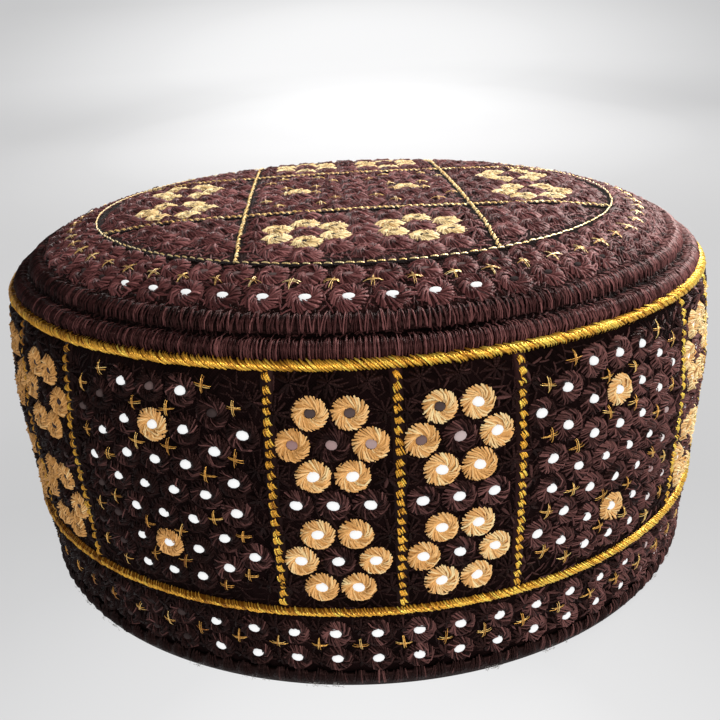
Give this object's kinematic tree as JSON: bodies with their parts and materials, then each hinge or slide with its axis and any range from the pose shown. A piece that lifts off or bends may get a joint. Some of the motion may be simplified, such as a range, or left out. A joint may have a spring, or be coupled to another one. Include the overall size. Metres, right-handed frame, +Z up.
{
  "type": "prayer cap",
  "caption": "Stiff round embroidered prayer cap with an upright wall, a flat domed crown, pierced eyelets, gold cords and braids, and a pale lining.",
  "frame": {"origin": "middle of the rim's underside, on the surface that the cap rests on", "axes": "+Z up through the middle of the crown, -Y towards the front as pictured, +X to the right"},
  "size_m": [0.1895, 0.1914, 0.0926],
  "materials": {
    "dark_embroidery": "dense raised satin stitch in dark plum-brown thread",
    "dark_satin": "zigzag satin stitch over a rolled edge",
    "gold_thread": "bright metallic gold thread",
    "lining_cotton": "plain pale cotton",
    "cream_thread": "raised satin stitch in tan-cream thread"
  },
  "bodies": {
    "root": {"hem_binding": "dark_satin", "side_band": "dark_embroidery", "lining": "lining_cotton", "lower_gold_cord": "gold_thread", "upper_gold_cord": "gold_thread", "band_top_binding": "dark_satin", "crown_edge_binding": "dark_satin", "crown_panel": "dark_embroidery", "crown_gold_braid": "gold_thread", "band_braid_01": "gold_thread", "band_braid_02": "gold_thread", "band_braid_03": "gold_thread", "band_braid_04": "gold_thread", "band_braid_05": "gold_thread", "band_braid_06": "gold_thread", "band_braid_07": "gold_thread", "band_braid_08": "gold_thread", "band_braid_09": "gold_thread", "band_braid_10": "gold_thread", "band_braid_11": "gold_thread", "band_braid_12": "gold_thread", "band_braid_13": "gold_thread", "band_braid_14": "gold_thread", "band_braid_15": "gold_thread", "band_braid_16": "gold_thread", "band_braid_17": "gold_thread", "band_braid_18": "gold_thread"}
  },
  "joints": []
}
